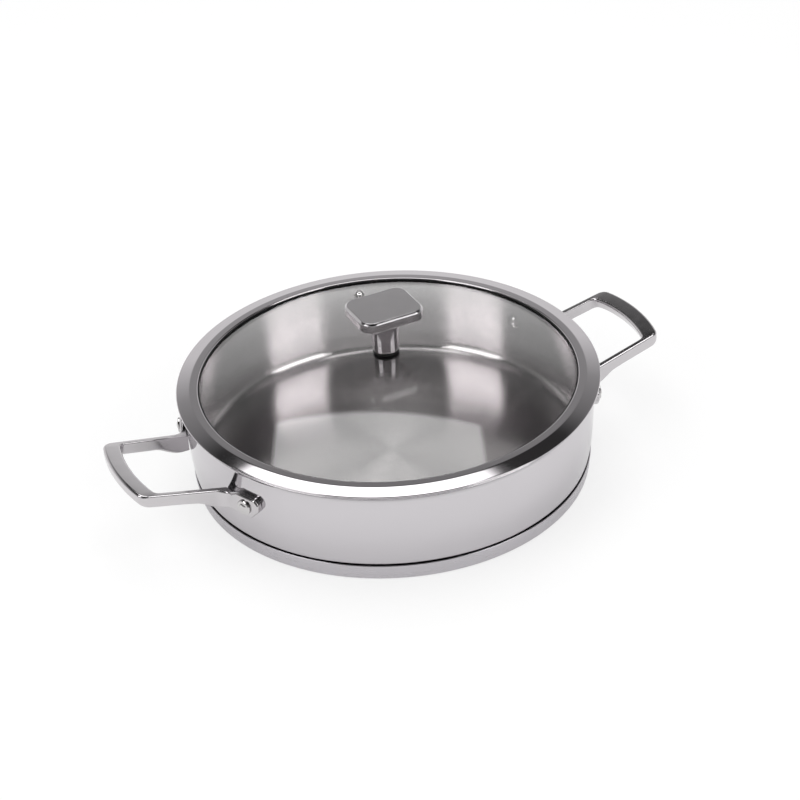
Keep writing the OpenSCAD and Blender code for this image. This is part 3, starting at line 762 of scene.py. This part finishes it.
def makeVent():
    flange, barrel, hole, rim = vent["flange"] / 2, vent["barrel"] / 2, vent["hole"] / 2, vent["rim"]
    under = -lid["glass"] - lid["gap"]
    top, holeEdge, flangeEdge = vent["topHeight"], vent["holeEdge"], vent["flangeEdge"]
    innerDrop, outerDrop = vent["barrelEdge"]
    eyelet = turn("steamVent", [
        (hole, top - holeEdge), (hole + holeEdge, top), (barrel - rim, top - innerDrop),
        (barrel, top - outerDrop), (barrel + rim * 0.7, vent["barrelFoot"]),
        (barrel + rim, vent["filletEnd"]), (flange - flangeEdge, rim), (flange, rim - flangeEdge),
        (flange, lid["gap"]), (barrel, lid["gap"]), (barrel, under), (flange - rim, under),
        (flange - rim, under - rim), (hole, under - rim)], 64, closed=True)
    tilt = math.asin((lid["bandInner"] - lid["ventInset"]) / lid["ball"])
    # Tilted to stand square on the dome, then turned to its direction
    eyelet.location[2] = lid["ball"] * mm
    settle(eyelet)
    eyelet.rotation_euler[1] = tilt
    settle(eyelet)
    eyelet.rotation_euler[2] = math.radians(lid["ventAngle"])
    eyelet.location[2] = lid["ballHeight"] * mm
    settle(eyelet)
    finishPiece(eyelet, "lid", ["vent_eyelet"], "rivet_steel", brightSteel)


# Knob

knob = {
    "length": 46.0, "width": 39.0, "thickness": 7.5, "corner": 9.0, "cornerSteps": 16,
    "chamfer": 1.3, "footChamfer": 0.8, "edgeRound": 0.25,
    "sealThickness": 1.8, "sealWidth": 18.0, "lowerSeal": 1.5, "washer": 1.0, "washerWidth": 15.0,
    "stemHeight": 25.6, "stem": 18.4, "stemFoot": 0.8, "topGap": 0.05,
    "collar": 23.0, "collarHeight": 1.6, "collarEdge": 0.2,
    "screw": 5.0, "screwHead": 10.0, "screwHeadHeight": 3.0, "screwGrip": 9.0, "slot": 1.2,
}


def makePlate():
    bottom = lid["glassTop"] + knob["sealThickness"] + knob["stemHeight"]
    middle = (0, 0, (bottom + knob["thickness"] / 2) * mm)
    letGo()
    bpy.ops.mesh.primitive_cube_add(size=mm, location=middle,
                                    scale=(knob["length"], knob["width"], knob["thickness"]))
    plate = bpy.context.object
    plate.name = plate.data.name = "knobPlate"
    settle(plate)
    bpy.ops.object.mode_set(mode="EDIT")
    pick(plate, "edges", lambda e: abs(e.verts[0].co.z - e.verts[1].co.z) > mm)
    bpy.ops.mesh.bevel(offset=knob["corner"] * mm, segments=knob["cornerSteps"], affect="EDGES")
    touching = 0.001 * mm
    chamfers = ((bottom + knob["thickness"], knob["chamfer"], 1), (bottom, knob["footChamfer"], 3))
    for height, size, steps in chamfers:
        pick(plate, "edges", lambda e: all(abs(v.co.z - height * mm) < touching for v in e.verts))
        bpy.ops.mesh.bevel(offset=size * mm, segments=steps, affect="EDGES")
    letGo()
    useModifier(plate, "BEVEL", width=knob["edgeRound"] * mm, segments=2, limit_method="ANGLE",
                angle_limit=math.radians(30))
    smooth(plate, 35)
    useModifier(plate, "WEIGHTED_NORMAL", keep_sharp=True)
    finishPiece(plate, "lid", ["knob_plate"], "knob_steel", knobSteel)


def makeStem():
    start = lid["glassTop"] + knob["sealThickness"]
    end = start + knob["stemHeight"] - knob["topGap"]
    radius, foot, edge = knob["stem"] / 2, knob["stemFoot"], knob["collarEdge"]
    spread, flare, steps = knob["collar"] / 2 - radius, 2 * knob["collarHeight"], 6
    collar = [(radius + spread * (t / steps) ** 2, end - flare * (1 - t / steps)) for t in range(steps + 1)]
    footArc = arc((radius - foot, start + foot), foot, -90, 0, 6)
    stem = turn("knobStem", [(0, start), (radius - foot - edge, start)] + footArc
                + straight(footArc[-1], collar[0]) + collar
                + [(knob["collar"] / 2 - edge, end), (0, end)], 96)
    finishPiece(stem, "lid", ["knob_stem"], "knob_steel", ringSteel)


def makeDisc(name, node, slotName, material, width, thickness, low, edge):
    # Flat ring with its hole and rounded edges
    outer, inner, high, bulge = width / 2, knob["screw"] / 2 + 0.1, low + thickness, edge * 0.3
    profile = [(inner, low), (outer - edge, low), (outer - bulge, low + bulge), (outer, low + edge),
               (outer, high - edge), (outer - bulge, high - bulge), (outer - edge, high), (inner, high)]
    disc = turn(name, profile, 96, closed=True)
    finishPiece(disc, "lid", [node], slotName, material)


def makeFixing():
    under = lid["glassTop"] - lid["glass"]
    drop = under - overGlass(knob["sealWidth"] / 2, -lid["glass"]) + knob["topGap"]
    sealLow = under - drop - knob["lowerSeal"]
    washerLow = sealLow - knob["washer"]
    makeDisc("upperSeal", "upper_seal", "seal_rubber", sealRubber,
             knob["sealWidth"], knob["sealThickness"], lid["glassTop"], 0.4)
    makeDisc("lowerSeal", "lower_seal", "seal_rubber", sealRubber,
             knob["sealWidth"], knob["lowerSeal"], sealLow, 0.3)
    makeDisc("knobWasher", "knob_washer", "rivet_steel", brightSteel,
             knob["washerWidth"], knob["washer"], washerLow, 0.2)
    shank, point = knob["screw"] / 2, 0.5
    tip = lid["glassTop"] + knob["sealThickness"] + knob["screwGrip"]
    head = domeArc(knob["screwHead"], knob["screwHeadHeight"], washerLow, -1, 12)
    screw = turn("knobScrew", [*reversed(head)]
                 + [(shank, washerLow), (shank, tip - point), (shank - point, tip), (0, tip)], 64)
    headLow = washerLow - knob["screwHeadHeight"]
    for turned in (0, 1):
        letGo()
        size = (knob["screwHead"] / 2, knob["slot"]) if turned else (knob["slot"], knob["screwHead"] / 2)
        bpy.ops.mesh.primitive_cube_add(size=mm, location=(0, 0, headLow * mm),
                                        scale=(*size, knob["screwHeadHeight"]))
        cutter = bpy.context.object
        settle(cutter)
        useModifier(screw, "BOOLEAN", operation="DIFFERENCE", object=cutter, solver="EXACT")
        bpy.data.objects.remove(cutter)
    smooth(screw)
    finishPiece(screw, "lid", ["knob_screw"], "rivet_steel", brightSteel)


# Studio

studio = {
    "turn": math.radians(-24.7), "floorSize": 16.0, "worldDiffuse": 0.55, "domeRadius": 7.0,
    # How much the floor scatters and how much it glows, for the camera and in reflections
    "scatterSeen": 0.3, "scatterMirrored": 0.8, "scatterOther": 0.5, "glowSeen": 0.7, "glowMirrored": 0.22,
    # Brightness of the room behind by elevation, how much of it is left at the sides, and where they begin
    "room": ((0, 0.95), (23, 0.9), (31, 0.4), (38, 0.24), (43, 0.04), (90, 0.04)),
    "roomSides": 0.3, "sideShares": (0.1, 0.6),
    # Share of a softbox from its middle at which it starts to fade, and the corners in the camera's frame:
    # near left, near right, far left and far right
    "fadeStart": 0.47,
    "softboxes": {
        "overhead": (2.6, ((-0.84, -0.3, 2), (0.63, -0.3, 2), (-0.84, 1.73, 2), (0.63, 1.36, 2))),
        "frontLeft": (3.4, ((-1.0, -1.2, 0.7), (-1.7, -0.5, 0.7), (-0.8, -1.0, 1.6), (-1.5, -0.3, 1.6))),
        "frontRight": (3.4, ((1.7, -0.5, 0.7), (1.0, -1.2, 0.7), (1.5, -0.3, 1.6), (0.8, -1.0, 1.6))),
    },
}


def fromCamera(x, y, z):
    # A place given with the camera in front, at -y, in the frame of the part
    c, s = math.cos(studio["turn"]), math.sin(studio["turn"])
    return Vector((c * x - s * y, s * x + c * y, z))


def raySwitch(tree, seen, mirrored, other):
    # One value for camera rays, one for reflected and refracted rays and one for the rest
    path = addNode(tree, "ShaderNodeLightPath")
    either = addNode(tree, "ShaderNodeMath", {"operation": "MAXIMUM"},
                     {0: path.outputs["Is Glossy Ray"], 1: path.outputs["Is Transmission Ray"]})
    level = addNode(tree, "ShaderNodeMapRange", {"To Min": other, "To Max": mirrored},
                    {"Value": either.outputs["Value"]})
    final = addNode(tree, "ShaderNodeMapRange", {"To Max": seen},
                    {"Value": path.outputs["Is Camera Ray"], "To Min": level.outputs["Result"]})
    return final.outputs["Result"]


def bareMaterial(name):
    material = bpy.data.materials.new(name)
    material.use_nodes = True
    material.node_tree.nodes.clear()
    return material, material.node_tree


def makeFloor():
    letGo()
    bpy.ops.mesh.primitive_plane_add(size=studio["floorSize"], location=(0, 0, -0.3 * mm))
    floor = bpy.context.object
    floor.name = "studioFloor"
    material, tree = bareMaterial("white_paper_floor")
    scatter = raySwitch(tree, studio["scatterSeen"], studio["scatterMirrored"], studio["scatterOther"])
    paper = addNode(tree, "ShaderNodeBsdfDiffuse", None, {"Color": scatter})
    glow = addNode(tree, "ShaderNodeEmission", {"Color": (1, 1, 1, 1)},
                   {"Strength": raySwitch(tree, studio["glowSeen"], studio["glowMirrored"], 0)})
    both = addNode(tree, "ShaderNodeAddShader", None, {0: paper.outputs["BSDF"], 1: glow.outputs["Emission"]})
    addNode(tree, "ShaderNodeOutputMaterial", None, {"Surface": both.outputs["Shader"]})
    floor.data.materials.append(material)


def makeWorld():
    world = bpy.data.worlds.new("whiteStudio")
    bpy.context.scene.world = world
    world.use_nodes = True
    tree = world.node_tree
    background = tree.nodes["Background"]
    background.inputs["Color"].default_value = (1, 1, 1, 1)
    tree.links.new(raySwitch(tree, 1, 1, studio["worldDiffuse"]), background.inputs["Strength"])


def glowMaterial(name):
    material, tree = bareMaterial(name)
    glow = addNode(tree, "ShaderNodeEmission")
    addNode(tree, "ShaderNodeOutputMaterial", None, {"Surface": glow.outputs["Emission"]})
    return material, tree, glow


def hideFromCamera(thing, diffuse=True):
    thing.visible_camera = False
    thing.visible_shadow = False
    thing.visible_diffuse = diffuse


def makeDome():
    # The room round the table: a grey backdrop behind, dark to the sides
    letGo()
    bpy.ops.mesh.primitive_uv_sphere_add(segments=64, ring_count=32, radius=studio["domeRadius"])
    dome = bpy.context.object
    dome.name = "studioRoom"
    material, tree, glow = glowMaterial("grey_room_paint")
    place = addNode(tree, "ShaderNodeTexCoord").outputs["Object"]
    behind = fromCamera(0, 1, 0) / studio["domeRadius"]
    along = addNode(tree, "ShaderNodeVectorMath", {"operation": "DOT_PRODUCT", 1: tuple(behind)}, {0: place})
    start, end = studio["sideShares"]
    sides = addNode(tree, "ShaderNodeMapRange",
                    {"From Min": start, "From Max": end, "To Min": studio["roomSides"], "To Max": 1,
                     "interpolation_type": "SMOOTHSTEP"},
                    {"Value": along.outputs["Value"]})
    parts = addNode(tree, "ShaderNodeSeparateXYZ", None, {"Vector": place})
    height = addNode(tree, "ShaderNodeMath", {"operation": "DIVIDE", 1: studio["domeRadius"]},
                     {0: parts.outputs["Z"]})
    ramp = addNode(tree, "ShaderNodeValToRGB", None, {"Fac": height.outputs["Value"]})
    stops = ramp.color_ramp.elements
    for index, (elevation, level) in enumerate(studio["room"]):
        share = math.sin(math.radians(elevation))
        stop = stops[index] if index < 2 else stops.new(share)
        stop.position = share
        stop.color = (level, level, level, 1)
    strength = addNode(tree, "ShaderNodeMath", {"operation": "MULTIPLY"},
                       {0: ramp.outputs["Color"], 1: sides.outputs["Result"]})
    tree.links.new(strength.outputs["Value"], glow.inputs["Strength"])
    dome.data.materials.append(material)
    hideFromCamera(dome, diffuse=False)


def makeSoftbox(name, strength, corners):
    # Flat light with soft borders, given by its corners in the camera's frame
    letGo()
    bpy.ops.mesh.primitive_plane_add(size=1)
    box = bpy.context.object
    box.name = name
    bpy.ops.object.mode_set(mode="EDIT")
    for index, corner in enumerate(corners):
        pick(box, "verts", lambda v: v.index == index)
        start = Vector(((index % 2) - 0.5, (index // 2) - 0.5, 0))
        bpy.ops.transform.translate(value=fromCamera(*corner) - start)
    letGo()
    material, tree, glow = glowMaterial(name + "_cloth")
    where = addNode(tree, "ShaderNodeTexCoord").outputs["UV"]
    parts = addNode(tree, "ShaderNodeSeparateXYZ", None, {"Vector": where})
    level = None
    for axis in ("X", "Y"):
        offset = addNode(tree, "ShaderNodeMath", {"operation": "SUBTRACT", 1: 0.5}, {0: parts.outputs[axis]})
        size = addNode(tree, "ShaderNodeMath", {"operation": "ABSOLUTE"}, {0: offset.outputs["Value"]})
        fade = addNode(tree, "ShaderNodeMapRange", {"From Min": 0.5, "From Max": studio["fadeStart"]},
                       {"Value": size.outputs["Value"]})
        level = fade if level is None else addNode(tree, "ShaderNodeMath", {"operation": "MULTIPLY"},
                                                   {0: level.outputs[0], 1: fade.outputs[0]})
    power = addNode(tree, "ShaderNodeMath", {"operation": "MULTIPLY", 1: strength}, {0: level.outputs[0]})
    tree.links.new(power.outputs["Value"], glow.inputs["Strength"])
    box.data.materials.append(material)
    hideFromCamera(box)


def makeStudio():
    makeFloor()
    makeWorld()
    makeDome()
    for name, (strength, corners) in studio["softboxes"].items():
        makeSoftbox(name + "Softbox", strength, corners)


camera = {
    "place": (-497.31, -1080.97, 815.43), "turn": (57.167, 2.812, -26.870), "lens": 92.25, "sensor": 36,
    "farthest": 100,
}


def makeCamera():
    data = bpy.data.cameras.new("photoCamera")
    data.lens = camera["lens"]
    data.sensor_width = camera["sensor"]
    data.clip_end = camera["farthest"]
    thing = bpy.data.objects.new("photoCamera", data)
    bpy.context.scene.collection.objects.link(thing)
    thing.location = Vector(camera["place"]) * mm
    thing.rotation_euler = [math.radians(a) for a in camera["turn"]]
    bpy.context.scene.camera = thing
    bpy.context.scene.view_settings.view_transform = "Standard"


stages = [
    ("pan shell", makeShell), ("base", makeBase), ("handles", makeHandle), ("rivets", makeRivets),
    ("lid glass", makeGlass), ("lid ring", makeRing), ("sealing strip", makeStrip), ("steam vent", makeVent),
    ("knob plate", makePlate), ("knob stem", makeStem), ("knob fixing", makeFixing), ("studio", makeStudio),
    ("camera", makeCamera),
]
for label, work in stages:
    work()
    print("made:", label)

letGo()
